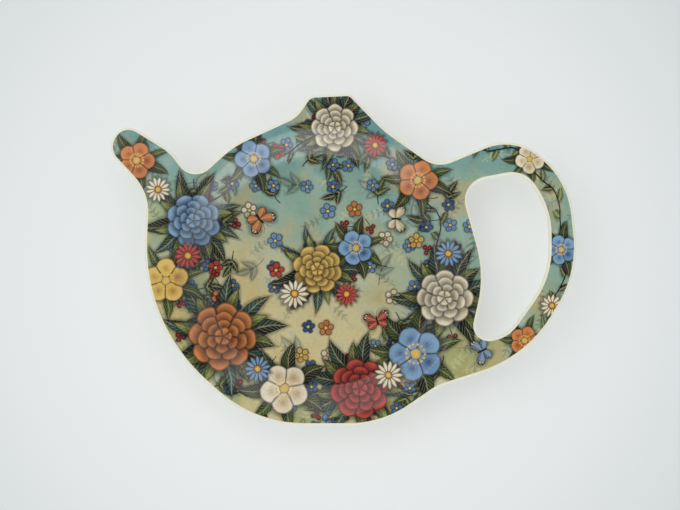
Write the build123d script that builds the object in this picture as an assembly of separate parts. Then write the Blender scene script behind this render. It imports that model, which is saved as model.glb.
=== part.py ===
from build123d import *
import os
from math import atan2, cos, radians, sin, tan

# Tea bag rest: a moulded melamine tray in the outline of a teapot, with a round well in its belly.
# A printed foil is pressed into its face under a clear glaze, and the moulded edge stays bare.
# The tray lies on its foot ring, well upwards. X runs from the spout to the handle, Y from the base
# to the lid's knob and Z up out of the well. The origin is the foot ring's middle, on the table.
# All sizes are in millimetres.

# Well and wall
mouth_radius = 37.3  # where the slope of the well meets the flange
slope_width = 7.2  # plan width of the slope
well_depth = 6.5  # flange down to the floor of the well
wall = 2.5  # whole finished wall, foil and glaze included
mouth_blend = 1.4  # rounding from the flange into the slope
floor_blend = 1.8  # rounding from the slope into the floor

# Foot ring
foot_height = 1.0
foot_width = 2.4  # width of the ring where it meets the floor
foot_inset = 2.9  # how far the ring lies inside the edge of the floor
foot_taper = 0.3  # narrowing of each side of the ring towards the table

# Printed face and edge
glaze_thickness = 0.2
foil_thickness = 0.2
bare_edge = 0.65  # width of bare moulding left round the foil and the glaze
edge_break = 0.4  # bevel on the flange's upper and lower edges

# Outline of the pot, by its corners before they are rounded. Most stand off the mouth of the well
# on a bearing, in degrees, that is counted round from the handle's side towards the lid.
# Base, straight from its left to its right corner
base_land = 2.3  # mouth of the well down to the base
base_left = 17.6  # each corner sideways from the well's middle
base_left_round = 34.0
base_right = 15.6
base_right_round = 28.0
# Handle, from the heel at its foot round to the valley beside the lid
heel_bearing = -44.7
heel_stand_off = 4.9
heel_round = 11.0
handle_foot_bearing = -22.8
handle_foot_stand_off = 20.2
handle_foot_round = 34.0
handle_bow_bearing = -0.3
handle_bow_stand_off = 29.2
handle_bow_round = 30.0
handle_shoulder_bearing = 20.6
handle_shoulder_stand_off = 30.9
handle_shoulder_round = 22.0
handle_crown_bearing = 35.7
handle_crown_stand_off = 23.7
handle_crown_round = 14.0
handle_valley_bearing = 42.7
handle_valley_stand_off = 3.0
handle_valley_round = 7.0
# Lid, with the corners of its knob placed sideways from the well's middle and up from its mouth
lid_dip_bearing = 66.2
lid_dip_stand_off = 2.9
lid_dip_round = 30.0
knob_right = 7.3
knob_right_rise = 8.7
knob_right_round = 2.2
knob_left = 3.3
knob_left_rise = 8.2
knob_left_round = 3.0
knob_root = 6.9
knob_root_rise = 2.9
knob_root_round = 8.0
lid_shoulder_bearing = 125.0
lid_shoulder_stand_off = 2.8
lid_shoulder_round = 23.0
# Spout and the flank under it
spout_valley_bearing = 144.5
spout_valley_stand_off = 3.5
spout_valley_round = 4.5
spout_crest_bearing = 141.2
spout_crest_stand_off = 12.7
spout_crest_round = 13.0
spout_lip_bearing = 142.8
spout_lip_stand_off = 26.6
spout_lip_round = 4.3
spout_tip_bearing = 150.3
spout_tip_stand_off = 27.2
spout_tip_round = 4.9
throat_bearing = 155.8
throat_stand_off = 12.2
throat_round = 13.0
flank_bearing = 195.9
flank_stand_off = 11.3
flank_round = 47.0

# Finger hole: its belly side stands off the mouth of the well, and its other corners lie inside the
# handle's own corners by a band.
hole_land = 5.3
hole_top_bearing = 32.3
hole_top_round = 5.6
hole_side_bearing = -1.1
hole_side_round = 31.0
hole_bottom_bearing = -25.5
hole_bottom_round = 3.4
crown_band_across = 2.3
crown_band_down = 9.8
crown_hole_round = 6.6
shoulder_band_across = 5.4
shoulder_band_down = 7.8
shoulder_hole_round = 21.0
bow_band_across = 7.9
bow_band_down = 0.9
bow_hole_round = 23.0
foot_band_across = 5.2
foot_band_up = 6.1
foot_hole_round = 9.0

# How much of an outline edge its two roundings may take up when they have to be cut down to fit
rounding_share = 0.98
# Overlap of cutting solids past the faces that they cut
overlap = 1.0
# A side face counts as upright when its normal rises by less than this
level_tolerance = 0.01

floor_radius = mouth_radius - slope_width
slope_angle = atan2(well_depth, slope_width)
floor_level = foot_height + wall
rim_level = floor_level + well_depth
inlay = glaze_thickness + foil_thickness


def around(bearing, stand_off):
    """Point that stands off the mouth of the well on a bearing."""
    distance = mouth_radius + stand_off
    angle = radians(bearing)
    return distance * cos(angle), distance * sin(angle)


handle_foot = around(handle_foot_bearing, handle_foot_stand_off)
handle_bow = around(handle_bow_bearing, handle_bow_stand_off)
handle_shoulder = around(handle_shoulder_bearing, handle_shoulder_stand_off)
handle_crown = around(handle_crown_bearing, handle_crown_stand_off)
base_level = -(mouth_radius + base_land)

pot_corners = [
    (-base_left, base_level, base_left_round),
    (base_right, base_level, base_right_round),
    (*around(heel_bearing, heel_stand_off), heel_round),
    (*handle_foot, handle_foot_round),
    (*handle_bow, handle_bow_round),
    (*handle_shoulder, handle_shoulder_round),
    (*handle_crown, handle_crown_round),
    (*around(handle_valley_bearing, handle_valley_stand_off), handle_valley_round),
    (*around(lid_dip_bearing, lid_dip_stand_off), lid_dip_round),
    (knob_right, mouth_radius + knob_right_rise, knob_right_round),
    (-knob_left, mouth_radius + knob_left_rise, knob_left_round),
    (-knob_root, mouth_radius + knob_root_rise, knob_root_round),
    (*around(lid_shoulder_bearing, lid_shoulder_stand_off), lid_shoulder_round),
    (*around(spout_valley_bearing, spout_valley_stand_off), spout_valley_round),
    (*around(spout_crest_bearing, spout_crest_stand_off), spout_crest_round),
    (*around(spout_lip_bearing, spout_lip_stand_off), spout_lip_round),
    (*around(spout_tip_bearing, spout_tip_stand_off), spout_tip_round),
    (*around(throat_bearing, throat_stand_off), throat_round),
    (*around(flank_bearing, flank_stand_off), flank_round),
]

hole_corners = [
    (handle_foot[0] - foot_band_across, handle_foot[1] + foot_band_up, foot_hole_round),
    (handle_bow[0] - bow_band_across, handle_bow[1] - bow_band_down, bow_hole_round),
    (handle_shoulder[0] - shoulder_band_across, handle_shoulder[1] - shoulder_band_down, shoulder_hole_round),
    (handle_crown[0] + crown_band_across, handle_crown[1] - crown_band_down, crown_hole_round),
    (*around(hole_top_bearing, hole_land), hole_top_round),
    (*around(hole_side_bearing, hole_land), hole_side_round),
    (*around(hole_bottom_bearing, hole_land), hole_bottom_round),
]


def rounded_face(corners):
    """Face inside straight edges and tangent arcs; roundings too big for an edge are cut down to it."""
    points = [Vector(x, y) for x, y, _ in corners]
    count = len(points)
    edges = [points[(i + 1) % count] - points[i] for i in range(count)]
    tangents = []
    for i, (_, _, radius) in enumerate(corners):
        turn = edges[i - 1].get_angle(edges[i])
        tangents.append(radius * tan(radians(turn / 2)))
    radii = []
    for i, (_, _, radius) in enumerate(corners):
        fit_before = rounding_share * edges[i - 1].length / (tangents[i - 1] + tangents[i])
        fit_after = rounding_share * edges[i].length / (tangents[i] + tangents[(i + 1) % count])
        radii.append(radius * min(1.0, fit_before, fit_after))
    return make_face(FilletPolyline(*points, radius=radii, close=True))


pot_face = rounded_face(pot_corners)
hole_face = rounded_face(hole_corners)
reach = pot_face.bounding_box().diagonal


def pot_prism(inset):
    """Upright solid of the pot's outline and finger hole, drawn in by an inset all round."""
    plan = pot_face - hole_face
    if inset > 0:
        plan = offset(pot_face, -inset) - offset(hole_face, inset)
    return extrude(plan, rim_level + overlap)


def skin_line(depth, floor_round=0, mouth_round=0):
    """Half section of the surface a given depth under the finished face: floor, slope and flange."""
    shift = depth * tan(slope_angle / 2)
    return FilletPolyline(
        (0, floor_level - depth),
        (floor_radius + shift, floor_level - depth),
        (mouth_radius + shift, rim_level - depth),
        (reach, rim_level - depth),
        radius=[floor_round, mouth_round],
    )


def layer(top, bottom):
    """Solid of revolution between two half sections of the wall."""
    inner_end = Line(top @ 0, bottom @ 0)
    outer_end = Line(top @ 1, bottom @ 1)
    section = make_face([top, outer_end, bottom, inner_end])
    return revolve(Plane.XZ * section, Axis.Z)


face_line = skin_line(0, floor_blend, mouth_blend)
glaze_line = skin_line(glaze_thickness)
inlay_line = skin_line(inlay)
underside_line = skin_line(wall, floor_blend + wall)
above_line = skin_line(-overlap)


def make_foot_ring():
    """Tapered ring that the tray stands on, sunk into the floor's wall so that the two join."""
    outer = floor_radius - foot_inset
    inner = outer - foot_width
    sunk_level = foot_height + wall / 2
    section = make_face(
        Polyline(
            (inner, foot_height),
            (inner + foot_taper, 0),
            (outer - foot_taper, 0),
            (outer, foot_height),
            (outer, sunk_level),
            (inner, sunk_level),
            close=True,
        )
    )
    return revolve(Plane.XZ * section, Axis.Z)


def flange_edges(tray):
    """Upper and lower edges of the flange, round the outline and round the finger hole."""
    upright_sides = tray.faces().filter_by(lambda face: abs(face.normal_at().Z) < level_tolerance)
    return upright_sides.edges().filter_by(Axis.Z, reverse=True)


def make_moulded_body():
    """Tray of even wall with broken edges, its foot ring, and the pocket that the face lies in."""
    tray = layer(face_line, underside_line) & pot_prism(0)
    tray = chamfer(flange_edges(tray), edge_break)
    pocket = layer(above_line, inlay_line) & pot_prism(bare_edge)
    return tray + make_foot_ring() - pocket


def make_decor_foil():
    """Printed foil, a thin even skin over the floor, the slope and the flange."""
    return layer(glaze_line, inlay_line) & pot_prism(bare_edge)


def make_clear_glaze():
    """Clear glaze over the foil, level with the bare edge, which thins a little over the lip."""
    return layer(face_line, glaze_line) & pot_prism(bare_edge)


nodes = {
    "moulded_body": make_moulded_body(),
    "decor_foil": make_decor_foil(),
    "clear_glaze": make_clear_glaze(),
}

os.makedirs("parts", exist_ok=True)
for name, shape in nodes.items():
    export_step(shape, f"parts/{name}.step")
    print(name, f"{shape.volume:.1f} mm3")
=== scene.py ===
import math

import bmesh
import bpy
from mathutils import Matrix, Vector


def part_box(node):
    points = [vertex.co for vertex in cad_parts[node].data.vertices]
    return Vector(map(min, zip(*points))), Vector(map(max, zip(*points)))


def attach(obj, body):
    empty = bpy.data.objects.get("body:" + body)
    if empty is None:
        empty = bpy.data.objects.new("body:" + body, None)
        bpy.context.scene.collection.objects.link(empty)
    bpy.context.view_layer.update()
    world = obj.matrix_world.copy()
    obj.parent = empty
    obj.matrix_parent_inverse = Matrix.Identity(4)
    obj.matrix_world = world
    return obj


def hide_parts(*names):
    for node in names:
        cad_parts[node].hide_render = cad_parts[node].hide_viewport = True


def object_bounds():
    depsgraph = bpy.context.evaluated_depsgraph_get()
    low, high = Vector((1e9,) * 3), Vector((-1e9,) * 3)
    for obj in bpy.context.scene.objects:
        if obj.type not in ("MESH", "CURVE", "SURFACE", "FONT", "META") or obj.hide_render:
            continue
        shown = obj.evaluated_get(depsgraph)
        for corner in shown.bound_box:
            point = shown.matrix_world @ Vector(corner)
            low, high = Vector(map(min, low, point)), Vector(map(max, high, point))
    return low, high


# Tea bag rest: a cream melamine tray in the outline of a teapot, with a flower print under a clear
# glaze. Its pieces are finished copies of the solids that they stand for, in metres. The print is
# drawn in millimetres, seen from above: X to the handle and Y to the lid's knob.
# A fade is a pair of numbers: where a stroke, a tone or a light ends and where it is full.

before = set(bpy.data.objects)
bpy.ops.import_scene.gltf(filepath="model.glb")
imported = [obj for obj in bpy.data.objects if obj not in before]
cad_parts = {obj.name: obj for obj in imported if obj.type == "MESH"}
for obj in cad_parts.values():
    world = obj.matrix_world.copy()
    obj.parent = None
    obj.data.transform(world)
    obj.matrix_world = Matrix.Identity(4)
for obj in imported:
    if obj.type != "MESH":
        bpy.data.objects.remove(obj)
cad_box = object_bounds()

MM = 0.001
TURN = 2 * math.pi

# The photograph's frame, and three sides of the object's box in it, in pixels
PHOTO_WIDTH = 680
PHOTO_HEIGHT = 510
PHOTO_LEFT = 110.4
PHOTO_RIGHT = 576.5
PHOTO_BOTTOM = 425.7
CAMERA_DISTANCE = 0.6  # from the top of the object, in metres

# Shaping of the pieces, in millimetres and degrees
MERGE_GAP = 0.002  # points nearer than this are one
FLAT_FOLD = 0.05  # faces that fold by less than this are one
SOFT_FOLDS = (20, 80)  # folds that are rounded off
CRISP_FOLD = 35  # folds over this stay crisp in the light
EDGE_BUFF = 0.12  # rounding of the tray's edges
FLOOR_BLEND = 1.8  # rounding of the face from the slope into the floor of the well
MOUTH_BLEND = 1.4  # rounding of the face from the flange into the slope
BUFF_STEPS = 3
BLEND_STEPS = 8
UPWARD = 0.5  # a face looks up if its normal rises by more than this
LEVEL = 0.95  # and it is level if its normal rises by more than this


def srgb(red, green, blue):
    """Linear colour, with its alpha, of an 8-bit display colour, by the curve of the sRGB standard."""
    channels = []
    for level in (red, green, blue):
        share = level / 255
        channels.append(share / 12.92 if share <= 0.04045 else ((share + 0.055) / 1.055) ** 2.4)
    return (*channels, 1.0)


# Colours of the print
DEEP_TEAL = srgb(106, 158, 158)
TEAL = srgb(142, 174, 158)
PALE_TEAL = srgb(180, 200, 186)
CREAM = srgb(216, 202, 152)
OCHRE = srgb(203, 176, 112)
GRASS = srgb(138, 154, 92)
INK = srgb(14, 14, 18)
LEAF_DARK = srgb(12, 25, 20)
LEAF_MID = srgb(72, 96, 46)
LEAF_LIGHT = srgb(138, 154, 78)
LEAF_BLUE = srgb(52, 88, 84)
STAMEN = srgb(230, 190, 84)
PIGMENT_SHADE = srgb(206, 206, 200)
TERRACOTTA_DEEP = srgb(128, 56, 29)
TERRACOTTA_PALE = srgb(214, 138, 82)
BLUE_DEEP = srgb(33, 64, 114)
BLUE_PALE = srgb(132, 168, 200)
RED_DEEP = srgb(110, 23, 29)
RED_PALE = srgb(196, 80, 68)
WHITE_DEEP = srgb(174, 144, 96)
WHITE_PALE = srgb(240, 230, 200)
GOLD_DEEP = srgb(146, 96, 34)
GOLD_PALE = srgb(226, 190, 106)

# Colours of the melamine, the floor and the light
MELAMINE_DEEP = srgb(236, 234, 212)
MELAMINE_PALE = srgb(243, 242, 224)
MELAMINE_RUBBED = srgb(210, 206, 186)
# Painted pool of light on the floor: its colour near the object, and a greyer, painted dim colour far from
# it
FLOOR_PAINTED_LIT = srgb(247, 250, 250)
FLOOR_PAINTED_DIM = srgb(190, 199, 202)
LIGHT_WHITE = (1.0, 1.0, 1.0, 1.0)

# Kinds of blossom, by the share that picks their two colours
TERRACOTTA, BLUE, RED, WHITE, GOLD = 0.1, 0.3, 0.5, 0.7, 0.9
DEEP_COLOURS = [TERRACOTTA_DEEP, BLUE_DEEP, RED_DEEP, WHITE_DEEP, GOLD_DEEP]
PALE_COLOURS = [TERRACOTTA_PALE, BLUE_PALE, RED_PALE, WHITE_PALE, GOLD_PALE]

# Blossoms and butterflies of the print: X, Y and radius in millimetres, and kind
ROSES = [
    (-25.5, -16.5, 8.6, TERRACOTTA),
    (10.0, -30.0, 7.6, RED),
    (32.0, -6.5, 7.2, WHITE),
    (3.5, 37.5, 6.0, WHITE),
    (-33.0, 13.5, 6.8, BLUE),
    (-1.0, 1.0, 6.4, GOLD),
]
DOG_ROSES = [
    (-9.5, -30.0, 6.4, WHITE),
    (24.5, -21.0, 7.0, BLUE),
    (-40.0, -2.0, 5.8, GOLD),
    (-47.5, 29.0, 4.8, TERRACOTTA),
    (25.0, 24.0, 5.2, TERRACOTTA),
    (61.9, 6.0, 3.9, BLUE),
    (52.5, -17.5, 3.9, TERRACOTTA),
    (53.8, 29.4, 3.9, WHITE),
    (9.0, 6.5, 4.6, BLUE),
    (-17.5, 29.5, 4.8, BLUE),
]
DAISIES = [
    (17.5, -26.5, 3.6, WHITE),
    (-34.5, 4.5, 3.4, RED),
    (33.0, 5.0, 3.4, BLUE),
    (-7.0, -5.5, 3.8, WHITE),
    (-42.0, 21.5, 3.2, WHITE),
    (14.0, 33.0, 3.0, RED),
    (59.5, -8.5, 3.0, WHITE),
    (-16.5, -25.0, 3.4, BLUE),
    (6.6, -5.6, 3.0, RED),
]
BUTTERFLIES = [
    (-16.0, 14.0, 4.4, TERRACOTTA),
    (19.5, 14.0, 4.0, WHITE),
    (14.5, -12.5, 3.8, RED),
    (41.5, -20.0, 3.8, BLUE),
]
KIND_TURN = 9.0  # turn of each kind of blossom, per unit of its share
CHANCE_STRIDE = 71.0  # sets the chances of one kind's petals and leaves apart from another's

# Rings of a rose, outermost first: petals, how far out they are centred, their radius and their turn
ROSE_RINGS = [
    (8, 0.66, 0.36, 0.0),
    (7, 0.46, 0.30, 0.28),
    (6, 0.28, 0.24, 0.75),
    (5, 0.12, 0.17, 0.35),
]
# Wings of a butterfly, hind wings first: heading from its body, half length and half width
WINGS = [(2.15, 0.38, 0.26), (1.05, 0.5, 0.27)]

# Vines of the print: an oval in millimetres, the waves round it and their height, the leaves round the
# whole oval, and the first and last leaf that are drawn, counted from the handle's side
HANDLE_VINE = {
    "middle": (44.0, 5.5),
    "radii": (18.7, 27.0),
    "waves": 9.0,
    "sway": 0.9,
    "leaves": 44,
    "drawn_leaves": (-8, 13),
}
GARLAND = {
    "middle": (-1.0, 0.5),
    "radii": (33.0, 33.0),
    "waves": 11.0,
    "sway": 1.6,
    "leaves": 58,
    "drawn_leaves": (-29, 28),
}

# Wreath that the strewn motifs keep to, in millimetres: a ring round the well, with a heavy side
WREATH_RADIUS = 31.5
WREATH_FADE = (11.0, 5.0)  # away from that radius, inwards and outwards
HEAVY_SIDE = (-0.5, -0.87, 0.0)
HEAVY_FADE = (-30.0, 20.0)  # towards the heavy side
MEADOW_FADE = (25.0, 21.0)  # radius inside which the well's floor has motifs of its own

# Pens, in millimetres on strewn motifs and vines, and in radii on blossoms
STREWN_PEN = 0.14
VINE_PEN = 0.12
BLOSSOM_PEN = 0.024
FLOWER_PEN = 0.075
DAISY_PEN = 0.03
WING_PEN = 0.035
STEM_FADE = (0.1, -0.05)  # edge of a thin stem, in millimetres

# Paint of leaves and wings, with sizes in pens
LEAF_LIT = 0.35  # how much paler the lit half is
LEAF_RIB = (1.3, 0.4)
LEAF_VEIN = (1.0, 0.3)
LEAF_VEIN_GAP = 3.2
LEAF_VEIN_SLANT = 1.3
LEAF_RIB_PAINT = 0.4
LEAF_VEIN_PAINT = 0.6  # as a share of the rib's paint
LEAF_LINE = (-2.2, -0.2)
LEAF_LINE_INK = 0.8
LEAF_SHADE = (6.0, 0.0)  # beside a leaf
LEAF_SHADE_INK = 0.5
LEAF_SOFTNESS = 0.3
LEAF_TAPER = 0.4  # how much slimmer a leaf is towards its tip

# Paint of petals, with sizes in radii of the blossom, and strokes in pens
PETAL_VEINS = 6  # on half a petal
PETAL_VEIN_FADE = (1.0, 0.3)
PETAL_VEIN_PAINT = 0.25
PETAL_ROOT = -1.5  # where a petal is deepest, in its own radii inside its edge
PETAL_TIP = -0.08  # where it is palest
PETAL_FOLD = (2.0, 0.6)
PETAL_LINE = (-2.4, -0.6)
PETAL_LINE_INK = 0.75
PETAL_SHADE = (0.24, 0.0)  # beside a petal
PETAL_SHADE_INK = 0.6
PETAL_SOFTNESS = 0.5
PETAL_TINT = 0.3  # how much petals differ by chance
PETAL_LIGHT = 0.14  # how much paler they are towards the light

LIGHT_SIDE = (-0.6, 0.8, 0.0)  # side that blossoms are lit from
LAYER_SHIFT = 1e-6  # shift of a layer by the colour under it

# Bands of light low down in the studio, which the well's slope mirrors: their side, how they fade round
# to it, and the brightness that they add
LIGHT_BANDS = [
    ((0.22, -0.98, 0.0), (0.35, 0.75), 2.1),
    ((0.1, 0.99, 0.0), (0.6, 0.9), 0.8),
]


class Value:
    """A socket of a finish's node tree, which Python's operators join up with Math nodes."""

    def __init__(self, finish, socket):
        self.finish = finish
        self.socket = socket

    def math(self, operation, *others):
        return self.finish.node("Math", {"operation": operation}, dict(enumerate((self, *others))))

    def vector(self, operation, *others, output="Vector"):
        sockets = dict(enumerate((self, *others)))
        return self.finish.node("VectorMath", {"operation": operation}, sockets, output)

    def length(self):
        return self.vector("LENGTH", output="Value")

    def towards(self, side):
        return self.vector("DOT_PRODUCT", side, output="Value")

    def output(self, name):
        """Another output of the same node."""
        return Value(self.finish, self.socket.node.outputs[name])

    def __add__(self, other):
        return self.math("ADD", other)

    def __radd__(self, other):
        return self.math("ADD", other)

    def __sub__(self, other):
        return self.math("SUBTRACT", other)

    def __rsub__(self, other):
        return self.finish.node("Math", {"operation": "SUBTRACT"}, {0: other, 1: self})

    def __mul__(self, other):
        return self.math("MULTIPLY", other)

    def __rmul__(self, other):
        return self.math("MULTIPLY", other)

    def __abs__(self):
        return self.math("ABSOLUTE")

    def times_plus(self, factor, addend):
        return self.math("MULTIPLY_ADD", factor, addend)

    def fade(self, ends, size=1.0):
        """0 at the first end and 1 at the second, held beyond them, with the ends in units of a size.
        The first end may be the larger."""
        sockets = {"Value": self, "From Min": ends[0] * size, "From Max": ends[1] * size}
        return self.finish.node("MapRange", {"interpolation_type": "SMOOTHSTEP"}, sockets)

    def inside(self, softness):
        """1 inside a shape and 0 outside it, from the signed distance to its edge."""
        return self.fade((softness, -softness))


class Finish:
    """The node tree of a material or of the world."""

    def __init__(self, owner):
        self.owner = owner
        owner.use_nodes = True
        self.tree = owner.node_tree
        self.tree.nodes.clear()

    def node(self, kind, settings=None, sockets=None, output=0):
        """Adds a node, sets it up, feeds its sockets with numbers or links, and gives one output."""
        node = self.tree.nodes.new("ShaderNode" + kind)
        for name, setting in (settings or {}).items():
            if name == "colours":
                set_even_steps(node.color_ramp, setting)
            else:
                setattr(node, name, setting)
        for name, value in (sockets or {}).items():
            if isinstance(value, Value):
                self.tree.links.new(value.socket, node.inputs[name])
            else:
                node.inputs[name].default_value = value
        return Value(self, node.outputs[output]) if node.outputs else None

    def place(self):
        """Place on the object, in millimetres."""
        metres = self.node("TexCoord", output="Object")
        return metres.vector("MULTIPLY", (1 / MM, 1 / MM, 1 / MM))

    def noise(self, place, size, detail, output="Fac", dimensions="2D"):
        """Soft noise from 0 to 1, with features about a size in millimetres across."""
        sockets = {"Vector": place, "Scale": 1 / size, "Detail": detail}
        return self.node("TexNoise", {"noise_dimensions": dimensions}, sockets, output)

    def solid_noise(self, place, size, detail):
        return self.noise(place, size, detail, dimensions="3D")

    def chance(self, seed):
        """A chance from 0 to 1 that is the same wherever the seed is."""
        return self.node("TexWhiteNoise", {"noise_dimensions": "1D"}, {"W": seed}, "Value")

    def pick(self, choice, first, second):
        """The first number where the choice is 0, and the second where it is 1."""
        return self.node("Mix", None, {0: choice, 2: first, 3: second})

    def pick_place(self, choice, first, second):
        return self.node("Mix", {"data_type": "VECTOR"}, {0: choice, 4: first, 5: second}, output=1)

    def mix(self, under, over, share, blend="MIX"):
        """Colour that goes from one to the other as the share goes from 0 to 1."""
        settings = {"data_type": "RGBA", "blend_type": blend}
        return self.node("Mix", settings, {0: share, 6: under, 7: over}, output=2)

    def choose(self, share, colours):
        """One of some colours, each for an even part of the share from 0 to 1."""
        return self.node("ValToRGB", {"colours": colours}, {"Fac": share})

    def split(self, vector):
        """X and Y of a vector."""
        parts = self.node("SeparateXYZ", None, {"Vector": vector}, "X")
        return parts, parts.output("Y")

    def height(self, vector):
        return self.node("SeparateXYZ", None, {"Vector": vector}, "Z")

    def turned(self, vector, angle):
        sockets = {"Vector": vector, "Angle": angle}
        return self.node("VectorRotate", {"rotation_type": "Z_AXIS"}, sockets)

    def bump(self, relief, depth, strength):
        """Normals of a relief, with its depth in millimetres."""
        return self.node("Bump", None, {"Strength": strength, "Distance": depth * MM, "Height": relief})

    def show(self, shader):
        self.node("OutputMaterial", None, {"Surface": shader})


def set_even_steps(ramp, colours):
    ramp.interpolation = "CONSTANT"
    while len(ramp.elements) < len(colours):
        ramp.elements.new(1.0)
    for index, colour in enumerate(colours):
        ramp.elements[index].position = index / len(colours)
        ramp.elements[index].color = colour


def cells(finish, place, pitch, stray, shift):
    """Scattered cells about a pitch apart: the place from a cell's middle, that middle, and chances.
    A stray of 0 leaves them on an even grid, and a stray of 1 scatters them freely."""
    flat = place.vector("MULTIPLY_ADD", (1.0, 1.0, 0.0), (shift, shift, 0.0))
    sockets = {"Vector": flat, "Scale": 1 / pitch, "Randomness": stray}
    middle = finish.node("TexVoronoi", {"voronoi_dimensions": "2D"}, sockets, "Position")
    chance = finish.node("SeparateColor", None, {"Color": middle.output("Color")}, "Red")
    local = flat.vector("SUBTRACT", middle)
    return local, middle.vector("SUBTRACT", (shift, shift, 0.0)), chance


def strewn(finish, place, pitch, stray, shift, density):
    """Cells strewn round the wreath: the place in a cell, whether it holds a motif, and chances.
    The density is the share of cells that do, on the heavy side, on the light side and inside the well."""
    heavy, light, meadow = density
    local, middle, chance = cells(finish, place, pitch, stray, shift)
    radius = middle.length()
    ring = abs(radius - WREATH_RADIUS).fade(WREATH_FADE)
    weight = middle.towards(HEAVY_SIDE).fade(HEAVY_FADE)
    wreath = ring * weight.times_plus(heavy - light, light)
    share = wreath.math("MAXIMUM", radius.fade(MEADOW_FADE) * meadow)
    return local, chance.output("Green").math("LESS_THAN", share), chance


def leaning(along, across, lean):
    """Place along and across a leaf that leans out from its stem by an angle."""
    forward = math.cos(lean)
    outward = math.sin(lean)
    return along.times_plus(forward, across * outward), across.times_plus(forward, along * -outward)


def bar(along, side, half_length, half_width):
    """Signed distance from the edge of a straight bar, negative inside."""
    return (side - half_width).math("MAXIMUM", abs(along) - half_length)


def leaf_edge(along, across, half_length, half_width, taper=LEAF_TAPER):
    """Signed distance from the edge of a pointed leaf, negative inside, and the place from its rib."""
    arc = (half_length**2 + half_width**2) / (2 * half_width)
    side = abs(across) * along.times_plus(taper / half_length, 1.0)
    reach = side + (arc - half_width)
    distance = (along * along + reach * reach).math("SQRT")
    return distance - arc, side


def lay_leaf(finish, under, leaf, present, colours, pen):
    """Lays painted leaves over what is under them: two-toned, veined, inked and softly shaded beside."""
    along, across, edge, side, chance = leaf
    dark, light = colours
    lit_half = across.fade((-pen, pen))
    colour = finish.mix(dark, light, lit_half.times_plus(LEAF_LIT, chance * (1 - LEAF_LIT)))
    slanted = side.times_plus(-LEAF_VEIN_SLANT, along).math("PINGPONG", LEAF_VEIN_GAP * pen)
    veins = slanted.fade(LEAF_VEIN, pen) * LEAF_VEIN_PAINT
    rib = side.fade(LEAF_RIB, pen)
    colour = finish.mix(colour, CREAM, rib.math("MAXIMUM", veins) * LEAF_RIB_PAINT)
    colour = finish.mix(colour, INK, edge.fade(LEAF_LINE, pen) * LEAF_LINE_INK)
    shaded = finish.mix(under, INK, edge.fade(LEAF_SHADE, pen) * present * LEAF_SHADE_INK)
    return finish.mix(shaded, colour, edge.inside(LEAF_SOFTNESS * pen) * present)


def strewn_twigs(finish, under, place, pitch, shift, density, colours, strength=1.0):
    """A layer of twigs with two side leaves and an end leaf, at random turns."""
    stray = 0.55
    lean = math.radians(50)
    long = 0.2 * pitch
    wide = 0.085 * pitch
    bend = 0.5 / pitch
    stem_half_width = 0.1
    stem_back, stem_half_length = 0.5 * long, 1.4 * long
    side_forward, side_out = 0.5 * long, 0.3 * long
    end_forward = 1.25 * long
    local, present, chance = strewn(finish, place, pitch, stray, shift, density)
    present = present * strength
    along, across = finish.split(finish.turned(local, chance * TURN))
    across = across + along * along * bend
    side = abs(across)
    stem = bar(along + stem_back, side, stem_half_length, stem_half_width)
    colour = finish.mix(under, INK, stem.fade(STEM_FADE) * present)
    side_along, side_across = leaning(along, side, lean)
    side_along = side_along - side_forward
    side_across = side_across - side_out
    side_edge, side_rib = leaf_edge(side_along, side_across, long, wide)
    end_along = along - end_forward
    end_edge, end_rib = leaf_edge(end_along, across, long, wide)
    on_side = side_edge.math("LESS_THAN", end_edge)
    leaf_along = finish.pick(on_side, end_along, side_along)
    leaf_across = finish.pick(on_side, across, side_across)
    rib = finish.pick(on_side, end_rib, side_rib)
    leaf = leaf_along, leaf_across, side_edge.math("MINIMUM", end_edge), rib, chance.output("Blue")
    return lay_leaf(finish, colour, leaf, present, colours, STREWN_PEN)


def strewn_sprigs(finish, under, place, pitch, shift, colour, strength):
    """A layer of faint fern sprigs strewn over the whole ground."""
    stray = 0.7
    share = 0.75
    bend = 0.05
    half_gap = 0.7
    lean = math.radians(53)
    leaflet_root, leaflet_half_length, leaflet_half_width = 0.95, 1.05, 0.3
    stem_half_length, stem_half_width = 3.7, 0.1
    drawn_in = 0.036  # how leaflets shrink towards both ends
    edge_fade = (0.1, -0.06)
    local, _, chance = cells(finish, place, pitch, stray, shift)
    present = chance.output("Green").math("LESS_THAN", share)
    along, across = finish.split(finish.turned(local, chance * TURN))
    side = abs(across + along * along * bend)
    step = along.math("WRAP", half_gap, -half_gap)
    leaflet_along, leaflet_across = leaning(step, side, lean)
    leaflet_along = leaflet_along - leaflet_root
    leaflet, _ = leaf_edge(leaflet_along, leaflet_across, leaflet_half_length, leaflet_half_width)
    stem = bar(along, side, stem_half_length, stem_half_width)
    edge = (along * along).times_plus(drawn_in, leaflet).math("MINIMUM", stem)
    return finish.mix(under, colour, edge.fade(edge_fade) * present * strength)


def strewn_flowers(finish, under, place, pitch, shift, density, radius, colours=None):
    """A layer of tiny five-petalled flowers, of one pair of colours or, with none given, of any kind."""
    stray = 0.5
    eye_rim = (0.13, 0.24)
    eye_edge = (0.25, 0.2)
    local, present, chance = strewn(finish, place, pitch, stray, shift, density)
    x, y = finish.split(local)
    reach = local.length() * (1 / radius)
    kind = chance.output("Blue")
    angle = y.math("ARCTAN2", x) + chance * TURN
    if colours is None:
        deep, pale = blossom_colours(finish, kind)
    else:
        deep = colours[0]
        pale = finish.mix(*colours, kind)
    ring = petal_ring(finish, (angle, reach, kind, 0.0), count=5, middle=0.6, radius=0.38, turn=0.0)
    colour = lay_petals(finish, under, ring, (deep, pale), present, FLOWER_PEN)
    eye = finish.mix(STAMEN, INK, reach.fade(eye_rim))
    return finish.mix(colour, eye, reach.fade(eye_edge) * present)


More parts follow.
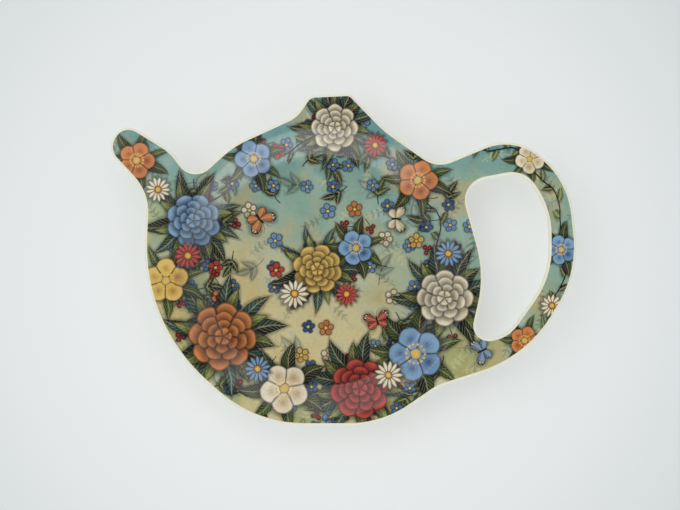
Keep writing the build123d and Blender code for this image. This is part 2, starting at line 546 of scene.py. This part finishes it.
def strewn_berries(finish, under, place, pitch, shift, density):
    """A layer of stalks with three berries each."""
    stray = 0.5
    bend = 0.08
    stalk_back, stalk_half_length, stalk_half_width = 0.6, 1.7, 0.08
    end_berry, side_berry = (1.5, 0.0, 0.0), (0.45, 0.75, 0.0)
    radius = 0.62
    tone = (-0.6, -0.25)
    line, line_ink = (-0.2, -0.02), 0.8
    shade, shade_ink = (0.5, 0.0), 0.4
    softness = 0.05
    local, present, chance = strewn(finish, place, pitch, stray, shift, density)
    along, across = finish.split(finish.turned(local, chance * TURN))
    side = abs(across + along * along * bend)
    stalk = bar(along + stalk_back, side, stalk_half_length, stalk_half_width)
    colour = finish.mix(under, LEAF_DARK, stalk.fade(STEM_FADE) * present)
    folded = finish.node("CombineXYZ", None, {"X": along, "Y": side})
    from_end = folded.vector("DISTANCE", end_berry, output="Value")
    from_side = folded.vector("DISTANCE", side_berry, output="Value")
    edge = from_end.math("MINIMUM", from_side) - radius
    berry = finish.mix(RED_PALE, RED_DEEP, edge.fade(tone))
    berry = finish.mix(berry, INK, edge.fade(line) * line_ink)
    shaded = finish.mix(colour, INK, edge.fade(shade) * present * shade_ink)
    return finish.mix(shaded, berry, edge.inside(softness) * present)


def leafy_vine(finish, under, place, colours, middle, radii, waves, sway, leaves, drawn_leaves):
    """A winding stem with a leaf to each side in turn, along an oval."""
    first, last = drawn_leaves
    stem_fade = (0.24, 0.12)
    leaf_root = 0.35  # along the stem, in leaves
    lean = math.radians(44)
    slimness = 0.4
    scale = (1 / radii[0], 1 / radii[1], 0.0)
    oval = place.vector("MULTIPLY_ADD", scale, (-middle[0] * scale[0], -middle[1] * scale[1], 0.0))
    x, y = finish.split(oval)
    angle = y.math("ARCTAN2", x)
    mean_radius = (radii[0] + radii[1]) / 2
    across = (oval.length() - 1.0) * mean_radius
    across = across + (angle * waves).math("SINE") * sway
    turns = angle * (leaves / TURN)
    index = turns.math("FLOOR")
    present = index.math("GREATER_THAN", first - 0.5) * index.math("LESS_THAN", last + 0.5)
    colour = finish.mix(under, LEAF_DARK, abs(across).fade(stem_fade) * present)
    pitch = TURN * mean_radius / leaves
    step = (turns - index - leaf_root) * pitch
    stem_side = index.math("PINGPONG", 1.0).times_plus(2.0, -1.0)  # -1 and 1 in turn
    out = across * stem_side
    half_length = 0.5 * pitch
    along, beside = leaning(step, out, lean)
    along = along - half_length
    edge, side = leaf_edge(along, beside, half_length, slimness * half_length)
    leaf = along, beside, edge, side, finish.chance(index)
    return lay_leaf(finish, colour, leaf, present, colours, VINE_PEN)


def nearest_blossom(finish, place, blossoms):
    """The nearest blossom: the angle round it and the reach from its middle in its radii, its kind, and
    how far towards the light. Each kind is turned by itself."""
    best = None
    for x, y, radius, kind in blossoms:
        scale = (1 / radius, 1 / radius, 0.0)
        local = place.vector("MULTIPLY_ADD", scale, (-x / radius, -y / radius, 0.0))
        distance = local.length()
        if best is None:
            best = local, distance, kind
            continue
        nearer = distance.math("LESS_THAN", best[1])
        chosen = finish.pick_place(nearer, best[0], local)
        chosen_kind = finish.pick(nearer, best[2], kind)
        best = chosen, distance.math("MINIMUM", best[1]), chosen_kind
    local, reach, kind = best
    x, y = finish.split(local)
    angle = y.math("ARCTAN2", x) + kind * KIND_TURN
    return angle, reach, kind, local.towards(LIGHT_SIDE)


def petal_ring(finish, blossom, count, middle, radius, turn):
    """A ring of round petals: signed distance from its edge, the angle from the nearest petal's middle,
    the reach, the petals' count and radius, and how much paler a petal is."""
    angle, reach, kind, lit = blossom
    turned = angle + turn
    across = turned.math("PINGPONG", math.pi / count)
    squared = (reach * across.math("COSINE")).times_plus(-2 * middle, reach * reach) + middle**2
    edge = squared.math("MAXIMUM", 0.0).math("SQRT") - radius
    petal = (turned * (count / TURN)).math("ROUND").math("WRAP", count, 0.0)
    chance = finish.chance(kind.times_plus(CHANCE_STRIDE, petal))
    tint = (chance - 0.5) * PETAL_TINT + lit * PETAL_LIGHT
    return edge, across, reach, count, radius, tint


def lay_petals(finish, under, ring, colours, present, pen):
    """Lays one ring of petals: pale at the tips, deep at the roots, veined, with inked edges and folds."""
    edge, across, reach, count, radius, tint = ring
    deep, pale = colours
    half = math.pi / count
    vein_gap = half / PETAL_VEINS
    fan = across.math("PINGPONG", vein_gap).fade((0.0, vein_gap))
    veins = fan * reach.fade(PETAL_VEIN_FADE) * PETAL_VEIN_PAINT
    tone = edge.fade((PETAL_ROOT * radius, PETAL_TIP))
    colour = finish.mix(deep, pale, tone - veins + tint)
    fold = ((half - across) * reach).fade(PETAL_FOLD, pen)
    line = edge.fade(PETAL_LINE, pen).math("MAXIMUM", fold)
    colour = finish.mix(colour, INK, line * PETAL_LINE_INK)
    shaded = finish.mix(under, INK, edge.fade(PETAL_SHADE) * present * PETAL_SHADE_INK)
    return finish.mix(shaded, colour, edge.inside(PETAL_SOFTNESS * pen) * present)


def leaf_spray(finish, under, blossom, count, turn, middle, half_length, half_width, colours):
    """Pointed leaves that stand out all round from under a blossom."""
    bend = 0.25
    askew_share = 0.35  # how far leaves stand askew, as a share of their wedge
    shrink_share = 0.4  # how much smaller some are, as a share of their half width
    angle, reach, kind, _ = blossom
    wedge = TURN / count
    turned = (angle + turn) * (1 / wedge)
    index = turned.math("FLOOR")
    chance = finish.chance(kind.times_plus(CHANCE_STRIDE, index.math("WRAP", count, 0.0)))
    askew = (turned - index - 0.5) * wedge + (chance - 0.5) * (askew_share * wedge)
    along = reach * askew.math("COSINE") - middle
    across = reach * askew.math("SINE")
    edge, side = leaf_edge(along, across + along * along * bend, half_length, half_width)
    leaf = along, across, edge + chance * (shrink_share * half_width), side, chance
    return lay_leaf(finish, under, leaf, 1.0, colours, BLOSSOM_PEN)


def blossom_colours(finish, kind):
    """The deep and the pale colour of a kind of blossom."""
    return finish.choose(kind, DEEP_COLOURS), finish.choose(kind, PALE_COLOURS)


def rose_leaves(finish, under, place):
    """Two sprays of leaves under each rose."""
    blossom = nearest_blossom(finish, place, ROSES)
    colour = leaf_spray(
        finish,
        under,
        blossom,
        count=9,
        turn=0.0,
        middle=1.22,
        half_length=0.78,
        half_width=0.27,
        colours=(LEAF_DARK, LEAF_BLUE),
    )
    return leaf_spray(
        finish,
        colour,
        blossom,
        count=8,
        turn=0.5,
        middle=1.0,
        half_length=0.62,
        half_width=0.26,
        colours=(LEAF_DARK, LEAF_LIGHT),
    )


def roses(finish, under, place):
    """Full blossoms with rings of petals."""
    blossom = nearest_blossom(finish, place, ROSES)
    colours = blossom_colours(finish, blossom[2])
    colour = under
    for count, middle, radius, turn in ROSE_RINGS:
        ring = petal_ring(finish, blossom, count, middle, radius, turn)
        colour = lay_petals(finish, colour, ring, colours, 1.0, BLOSSOM_PEN)
    return colour


def dog_roses(finish, under, place):
    """Open blossoms of five broad petals, with stamens round a yellow boss."""
    stamen_softness = 0.015
    boss_tone = (0.18, 0.04)
    boss_rim, boss_rim_ink = (0.16, 0.2), 0.8
    boss_edge = (0.215, 0.195)
    blossom = nearest_blossom(finish, place, DOG_ROSES)
    _, reach, kind, _ = blossom
    colour = leaf_spray(
        finish,
        under,
        blossom,
        count=7,
        turn=0.9,
        middle=1.15,
        half_length=0.72,
        half_width=0.3,
        colours=(LEAF_DARK, LEAF_MID),
    )
    ring = petal_ring(finish, blossom, count=5, middle=0.55, radius=0.45, turn=0.4)
    colour = lay_petals(finish, colour, ring, blossom_colours(finish, kind), 1.0, BLOSSOM_PEN)
    stamens = petal_ring(finish, blossom, count=14, middle=0.34, radius=0.045, turn=0.0)[0]
    colour = finish.mix(colour, STAMEN, stamens.inside(stamen_softness))
    boss = finish.mix(OCHRE, STAMEN, reach.fade(boss_tone))
    boss = finish.mix(boss, INK, reach.fade(boss_rim) * boss_rim_ink)
    return finish.mix(colour, boss, reach.fade(boss_edge))


def daisies(finish, under, place):
    """Small blossoms of narrow petals round a dark-rimmed eye."""
    petals = 13
    middle, half_length, half_width, taper = 0.6, 0.44, 0.14, -0.3
    tone_reach = 0.5
    light = 0.1
    eye_rim = (0.1, 0.28)
    eye_edge = (0.31, 0.28)
    angle, reach, kind, lit = nearest_blossom(finish, place, DAISIES)
    fold = angle.math("PINGPONG", math.pi / petals)
    along = reach * fold.math("COSINE") - middle
    edge, _ = leaf_edge(along, reach * fold.math("SINE"), half_length, half_width, taper)
    ring = edge, fold, reach, petals, tone_reach, lit * light
    colour = lay_petals(finish, under, ring, blossom_colours(finish, kind), 1.0, DAISY_PEN)
    eye = finish.mix(STAMEN, TERRACOTTA_DEEP, reach.fade(eye_rim))
    return finish.mix(colour, eye, reach.fade(eye_edge))


def butterflies(finish, under, place):
    """Butterflies with two pairs of veined wings, dark at their tips, feelers and a slim dark body."""
    wing_taper = -0.45
    wing_tone = 0.7
    tip_fade, tip_ink = (0.62, 0.86), 0.9
    spot_gap, spot_width = 0.12, (0.05, 0.02)
    spot_reach, spot_length = 0.8, (0.07, 0.04)
    body_half_length, body_half_width = 0.34, 0.055
    feeler_root, feeler_spread = 0.3, 0.05
    feeler_middle, feeler_half_length, feeler_half_width = 0.55, 0.262, 0.012
    softness = 0.025
    angle, reach, kind, _ = nearest_blossom(finish, place, BUTTERFLIES)
    along = reach * angle.math("COSINE")
    side = abs(reach * angle.math("SINE"))
    tips = reach.fade(tip_fade) * tip_ink
    spots = angle.math("PINGPONG", spot_gap).fade(spot_width) * abs(reach - spot_reach).fade(spot_length)
    colours = []
    for plain in blossom_colours(finish, kind):
        colours.append(finish.mix(finish.mix(plain, INK, tips), WHITE_PALE, spots))
    colour = under
    for heading, half_length, half_width in WINGS:
        out, beside = leaning(along, side, heading)
        out = out - half_length
        edge, rib = leaf_edge(out, beside, half_length, half_width, wing_taper)
        wing = out, beside, edge, rib, wing_tone
        colour = lay_leaf(finish, colour, wing, 1.0, colours, WING_PEN)
    forward = along - feeler_root
    curl = abs(side - forward * forward - feeler_spread)
    feelers = bar(along - feeler_middle, curl, feeler_half_length, feeler_half_width)
    body = bar(along, side, body_half_length, body_half_width)
    return finish.mix(colour, INK, body.math("MINIMUM", feelers).inside(softness))


def washed_ground(finish, place):
    """Watercolour wash from cream and grass green at the base to teal at the lid."""
    wash_slant = 0.3
    wash_swing = 44.0
    wash_fade = (0.0, 46.0)
    grass_ring = (20.0, 34.0)
    grass_fade, grass_paint = (0.2, 0.6), 0.75
    deep_rise = (16.0, 44.0)
    pale_fade, pale_paint = (0.5, 0.72), 0.5
    ochre_fade, ochre_paint = (0.5, 0.7), 0.5
    x, y = finish.split(place)
    cloudy = finish.noise(place, size=22.0, detail=3.0)
    wash = (x.times_plus(wash_slant, y) + cloudy * wash_swing).fade(wash_fade)
    grass = place.length().fade(grass_ring) * finish.noise(place, size=11.0, detail=4.0)
    low = finish.mix(CREAM, GRASS, grass.fade(grass_fade) * grass_paint)
    high = finish.mix(TEAL, DEEP_TEAL, y.fade(deep_rise))
    colour = finish.mix(low, high, wash)
    pale = finish.noise(place, size=9.0, detail=4.0).fade(pale_fade)
    colour = finish.mix(colour, PALE_TEAL, pale * pale_paint)
    ochre = finish.noise(place, size=14.0, detail=5.0).fade(ochre_fade)
    return finish.mix(colour, OCHRE, ochre * ochre_paint)


class Painting:
    """A picture built up in layers. Each layer waits for the one under it, by a shift too small to see,
    because a renderer that works out all layers side by side runs out of room."""

    def __init__(self, finish, place, ground):
        self.finish = finish
        self.place = place
        self.colour = ground

    def lay(self, motif, **choices):
        self.colour = motif(self.finish, self.colour, self.place, **choices)
        self.place = self.colour.vector("MULTIPLY_ADD", (LAYER_SHIFT, LAYER_SHIFT, 0.0), self.place)


def lay_ground_motifs(painting):
    """Faint sprigs and twigs of the ground, then the darker twigs and the two vines."""
    painting.lay(strewn_sprigs, pitch=8.5, shift=13.0, colour=LEAF_BLUE, strength=0.42)
    painting.lay(strewn_sprigs, pitch=9.5, shift=47.0, colour=CREAM, strength=0.5)
    painting.lay(
        strewn_twigs,
        pitch=10.5,
        shift=31.0,
        density=(1.0, 0.6, 0.2),
        colours=(LEAF_BLUE, PALE_TEAL),
        strength=0.6,
    )
    painting.lay(
        strewn_twigs,
        pitch=11.0,
        shift=53.0,
        density=(0.95, 0.5, 0.0),
        colours=(LEAF_DARK, LEAF_MID),
        strength=0.9,
    )
    painting.lay(leafy_vine, colours=(LEAF_DARK, LEAF_LIGHT), **HANDLE_VINE)
    painting.lay(leafy_vine, colours=(LEAF_DARK, LEAF_MID), **GARLAND)
    painting.lay(
        strewn_twigs,
        pitch=9.0,
        shift=7.0,
        density=(1.0, 0.4, 0.12),
        colours=(LEAF_DARK, LEAF_MID),
    )


def lay_flowers(painting):
    """Tiny flowers and berries, then the large blossoms on their leaves, and the butterflies on top."""
    painting.lay(
        strewn_flowers,
        pitch=5.2,
        shift=61.0,
        density=(0.5, 0.3, 0.08),
        radius=1.75,
        colours=(BLUE_DEEP, BLUE_PALE),
    )
    painting.lay(strewn_flowers, pitch=7.6, shift=83.0, density=(0.2, 0.2, 0.24), radius=2.1)
    painting.lay(strewn_berries, pitch=7.0, shift=23.0, density=(0.5, 0.35, 0.06))
    painting.lay(rose_leaves)
    painting.lay(dog_roses)
    painting.lay(roses)
    painting.lay(daisies)
    painting.lay(butterflies)


def flower_print(finish, place):
    """Colour of the print: blossoms and leaves round the well on a washed ground, in grainy pigment."""
    wobble_reach = 0.5  # how far a hand-drawn line strays, in millimetres
    grain_fade, grain_paint = (0.4, 0.8), 0.2
    pool_fade, pool_paint = (0.45, 0.75), 0.25
    wobble = finish.noise(place, size=2.6, detail=2.0, output="Color")
    drawn = wobble.vector("MULTIPLY_ADD", (wobble_reach, wobble_reach, 0.0), place)
    painting = Painting(finish, drawn, washed_ground(finish, place))
    lay_ground_motifs(painting)
    lay_flowers(painting)
    grain = finish.noise(place, size=0.8, detail=3.0).fade(grain_fade)
    pools = finish.noise(place, size=4.5, detail=4.0).fade(pool_fade)
    pigment = grain.times_plus(grain_paint, pools * pool_paint)
    return finish.mix(painting.colour, PIGMENT_SHADE, pigment, "MULTIPLY")


def printed_glaze():
    """The printed foil seen through its clear glaze, which is a little wavy and smudged."""
    glossy, smudge_dulling = 0.07, 0.08
    smudge_fade = (0.4, 0.75)
    finish = Finish(bpy.data.materials.new("printed_glaze"))
    place = finish.place()
    waves = finish.solid_noise(place, size=6.0, detail=1.0)
    smudges = finish.solid_noise(place, size=16.0, detail=3.0).fade(smudge_fade)
    sockets = {
        "Base Color": flower_print(finish, place),
        "Roughness": smudges.times_plus(smudge_dulling, glossy),
        "Normal": finish.bump(waves, depth=0.06, strength=0.3),
    }
    finish.show(finish.node("BsdfPrincipled", None, sockets))
    return finish.owner


def moulded_melamine():
    """Cream melamine: glossy from the mould, ground satin round the edge, and rubbed under the foot."""
    ground_above, ground_below = (7.7, 8.1), (9.75, 9.45)  # heights between which the edge is ground
    foot_fade = (0.15, 0.02)  # heights over which the foot is rubbed
    worn_fade, scuff_fade = (0.35, 0.7), (0.3, 0.7)
    rubbed_paint = 0.9
    grain_relief = 0.4
    glossy, mottle_dulling, ground_dulling, rubbed_dulling = 0.18, 0.1, 0.2, 0.3
    grinding = (0.12, 0.12, 3.0)  # draws the noise out into lines round the edge
    finish = Finish(bpy.data.materials.new("moulded_melamine"))
    place = finish.place()
    height = finish.height(place)
    mottle = finish.solid_noise(place, size=5.0, detail=3.0)
    grain = finish.solid_noise(place, size=0.6, detail=2.0)
    worn = finish.solid_noise(place, size=9.0, detail=3.0).fade(worn_fade)
    scuffs = finish.solid_noise(place, size=0.4, detail=3.0).fade(scuff_fade) * worn
    lines = finish.solid_noise(place.vector("MULTIPLY", grinding), size=1.0, detail=2.0)
    ground = height.fade(ground_above) * height.fade(ground_below)
    rubbed = height.fade(foot_fade) * scuffs
    colour = finish.mix(MELAMINE_DEEP, MELAMINE_PALE, mottle)
    colour = finish.mix(colour, MELAMINE_DEEP, ground * lines)
    colour = finish.mix(colour, MELAMINE_RUBBED, rubbed * rubbed_paint)
    relief = grain.times_plus(grain_relief, ground * lines)
    dulled = mottle.times_plus(mottle_dulling, glossy)
    sockets = {
        "Base Color": colour,
        "Roughness": dulled + ground * ground_dulling + rubbed * rubbed_dulling,
        "Normal": finish.bump(relief, depth=0.012, strength=0.25),
    }
    finish.show(finish.node("BsdfPrincipled", None, sockets))
    return finish.owner


def merged_copy(node):
    """A copy of a solid's mesh, with its loose triangles joined and each flat face made whole."""
    shape = bmesh.new()
    shape.from_mesh(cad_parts[node].data)
    bmesh.ops.remove_doubles(shape, verts=shape.verts, dist=MERGE_GAP * MM)
    flat = math.radians(FLAT_FOLD)
    bmesh.ops.dissolve_limit(shape, angle_limit=flat, verts=shape.verts, edges=shape.edges)
    return shape


def soft_folds(shape):
    """Edges of a shape that are to be rounded off."""
    least, most = SOFT_FOLDS
    return [edge for edge in shape.edges if least < math.degrees(edge.calc_face_angle()) < most]


def round_off(shape, edges, offset, segments):
    bmesh.ops.bevel(
        shape,
        geom=edges,
        offset=offset,
        offset_type="OFFSET",
        affect="EDGES",
        segments=segments,
        profile=0.5,
        material=-1,
        clamp_overlap=True,
    )


def finished_piece(name, shape, material):
    """Makes a piece of a shape: smooth faces with crisp folds, riding on the object."""
    mesh = bpy.data.meshes.new(name)
    shape.to_mesh(mesh)
    shape.free()
    mesh.shade_smooth()
    mesh.set_sharp_from_angle(angle=math.radians(CRISP_FOLD))
    mesh.materials.append(material)
    piece = bpy.data.objects.new(name, mesh)
    bpy.context.scene.collection.objects.link(piece)
    normals = piece.modifiers.new("even_normals", "WEIGHTED_NORMAL")
    normals.keep_sharp = True
    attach(piece, "root")
    return piece


def make_tray():
    """The moulded body, with its broken edges and its foot buffed round. The fold that the printed face
    fills, hollow and on the upper side, stays sharp."""
    shape = merged_copy("moulded_body")
    folds = [edge for edge in soft_folds(shape) if edge.is_convex or edge.link_faces[0].normal.z < UPWARD]
    round_off(shape, folds, EDGE_BUFF * MM, BUFF_STEPS)
    piece = finished_piece("tray", shape, moulded_melamine())
    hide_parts("moulded_body")


def raise_upper_side(shape, thickness):
    """Thickens a skin on its upper side, which is level but for one slope, and gives the rings where that
    side folds, the lower one first."""
    upper = [face for face in shape.faces if face.normal.z > UPWARD]
    rings = [edge for edge in soft_folds(shape) if edge.link_faces[0].normal.z > UPWARD]
    drawn_in = thickness * math.tan(rings[0].calc_face_angle() / 2)
    levels = [edge.verts[0].co.z for edge in rings]
    halfway = (min(levels) + max(levels)) / 2
    lower_ring = [edge for edge in rings if edge.verts[0].co.z < halfway]
    upper_ring = [edge for edge in rings if edge.verts[0].co.z > halfway]
    slope = [face for face in upper if face.normal.z < LEVEL]
    for point in {point for face in slope for point in face.verts}:
        scale = 1 - drawn_in / point.co.xy.length
        bmesh.ops.scale(shape, verts=[point], vec=(scale, scale, 1.0))
    points = list({point for face in upper for point in face.verts})
    bmesh.ops.translate(shape, verts=points, vec=(0, 0, thickness))
    shape.normal_update()
    return lower_ring, upper_ring


def make_printed_face():
    """Foil and glaze as one skin: the foil, thickened by the glaze, with the well's folds rounded."""
    shape = merged_copy("decor_foil")
    glaze_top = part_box("clear_glaze")[1].z
    foil_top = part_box("decor_foil")[1].z
    floor_ring, mouth_ring = raise_upper_side(shape, glaze_top - foil_top)
    half_slope = math.tan(floor_ring[0].calc_face_angle() / 2)
    round_off(shape, floor_ring, FLOOR_BLEND * MM * half_slope, BLEND_STEPS)
    mouth_ring = [edge for edge in mouth_ring if edge.is_valid]
    round_off(shape, mouth_ring, MOUTH_BLEND * MM * half_slope, BLEND_STEPS)
    piece = finished_piece("printed_face", shape, printed_glaze())
    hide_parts("clear_glaze", "decor_foil")


def make_floor():
    """A pale round floor with a painted pool of light: a little greyer away from the object, as if less
    light fell there.
    """
    radius = 3.0  # in metres
    # where the painted dimming of the floor starts and where it is full
    painted_dimming_fade = (30.0, 210.0)  # away from the object, in millimetres
    glow_share = 0.3
    shape = bmesh.new()
    bmesh.ops.create_circle(shape, cap_ends=True, radius=radius, segments=96)
    mesh = bpy.data.meshes.new("floor")
    shape.to_mesh(mesh)
    shape.free()
    finish = Finish(bpy.data.materials.new("pale_floor"))
    # Painted shade: the floor's colour dims from near to far, standing in for light falling off
    colour = finish.mix(FLOOR_PAINTED_LIT, FLOOR_PAINTED_DIM, finish.place().length().fade(painted_dimming_fade))
    matt = finish.node("BsdfDiffuse", None, {"Color": colour})
    glow = finish.node("Emission", None, {"Color": colour, "Strength": 1.0})
    path = finish.node("LightPath", output="Is Camera Ray")
    seen = path.math("MAXIMUM", path.output("Is Glossy Ray"))
    finish.show(finish.node("MixShader", None, {0: seen * glow_share, 1: matt, 2: glow}))
    mesh.materials.append(finish.owner)
    floor = bpy.data.objects.new("floor", mesh)
    bpy.context.scene.collection.objects.link(floor)


def add_soft_box(name, place, width, radiance):
    """A square soft box that shines at the object with the given brightness."""
    lamp = bpy.data.lights.new(name, "AREA")
    lamp.shape = "SQUARE"
    lamp.size = width
    lamp.energy = radiance * math.pi * width**2
    item = bpy.data.objects.new(name, lamp)
    item.location = place
    item.rotation_euler = (-Vector(place)).to_track_quat("-Z", "Y").to_euler()
    bpy.context.scene.collection.objects.link(item)


def light_studio():
    """A soft white surround, dim low down and overhead where the camera is, with low bands of light that
    the well's slope mirrors. Heights are the rise of a way, from 0 when level to 1 straight up."""
    low_brightness, surround_gain = 0.44, 0.4
    surround_fade = (0.0, 0.35)
    overhead_fade, overhead_cut = (0.8, 0.96), 0.7
    band_foot, band_top = (0.03, 0.1), (0.27, 0.19)
    world = bpy.data.worlds.new("studio")
    bpy.context.scene.world = world
    surround = Finish(world)
    way = surround.node("TexCoord", output="Generated")
    height = surround.height(way)
    overhead = height.fade(overhead_fade) * overhead_cut
    strength = height.fade(surround_fade).times_plus(surround_gain, low_brightness) - overhead
    low_down = height.fade(band_top) * height.fade(band_foot)
    for side, fade, brightness in LIGHT_BANDS:
        strength = (way.towards(side).fade(fade) * low_down).times_plus(brightness, strength)
    light = surround.node("Background", None, {"Color": LIGHT_WHITE, "Strength": strength})
    surround.node("OutputWorld", None, {"Surface": light})
    add_soft_box("key", place=(-0.6, 0.55, 1.2), width=1.6, radiance=0.68)


def place_camera():
    """Camera that looks straight down on the face, as the photograph looks square at it."""
    low, high = cad_box
    metres_per_pixel = (high.x - low.x) / (PHOTO_RIGHT - PHOTO_LEFT)
    x = low.x + (PHOTO_WIDTH / 2 - PHOTO_LEFT) * metres_per_pixel
    y = low.y + (PHOTO_BOTTOM - PHOTO_HEIGHT / 2) * metres_per_pixel
    camera = bpy.data.cameras.new("camera")
    camera.lens = camera.sensor_width * CAMERA_DISTANCE / (PHOTO_WIDTH * metres_per_pixel)
    item = bpy.data.objects.new("camera", camera)
    item.location = (x, y, high.z + CAMERA_DISTANCE)
    bpy.context.scene.collection.objects.link(item)
    bpy.context.scene.camera = item


make_tray()
make_printed_face()
make_floor()
light_studio()
place_camera()
bpy.context.scene.view_settings.view_transform = "Standard"
